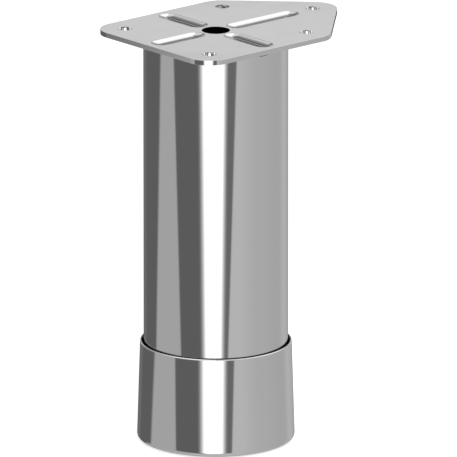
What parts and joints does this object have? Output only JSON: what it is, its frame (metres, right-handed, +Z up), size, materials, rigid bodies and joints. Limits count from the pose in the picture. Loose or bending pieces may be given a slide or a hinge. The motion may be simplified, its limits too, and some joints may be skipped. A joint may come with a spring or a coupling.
{
  "type": "furniture leg with levelling foot",
  "caption": "Round chromed tube leg with a pressed, nose-ended screw plate on top and a cup-shaped foot that is levelled with a key through the tube.",
  "frame": {"origin": "on the floor, under the middle of the glide pad, on the axis of the tube", "axes": "+Z up along the tube towards the furniture, +X towards the nose of the mounting plate"},
  "size_m": [0.0849, 0.0624, 0.1483],
  "materials": {
    "plate_chrome": "bright chrome plate",
    "tube_chrome": "bright chrome plate",
    "cup_chrome": "bright chrome plate",
    "zinc_steel": "zinc plated",
    "plug_plastic": "moulded",
    "pad_plastic": "moulded"
  },
  "bodies": {
    "leg": {"mounting_plate": "plate_chrome", "leg_tube": "tube_chrome", "tube_plug": "plug_plastic", "captive_nut": "zinc_steel"},
    "foot": {"foot_cup": "cup_chrome", "glide_pad": "pad_plastic"},
    "screw": {"levelling_screw": "zinc_steel", "retaining_washer": "zinc_steel"}
  },
  "joints": [
    {"name": "foot_height", "type": "slide", "parent": "leg", "child": "foot", "axis": [0, 0, -1], "range_m": [0, 0.015]},
    {"name": "screw_turn", "type": "hinge", "parent": "foot", "child": "screw", "pos_m": [0, 0, 0.004], "axis": [0, 0, -1], "range_deg": [0, 3600]}
  ],
  "couplings": [
    {"joint": "screw_turn", "follows": "foot_height", "rad_per_m": 4188.8}
  ]
}
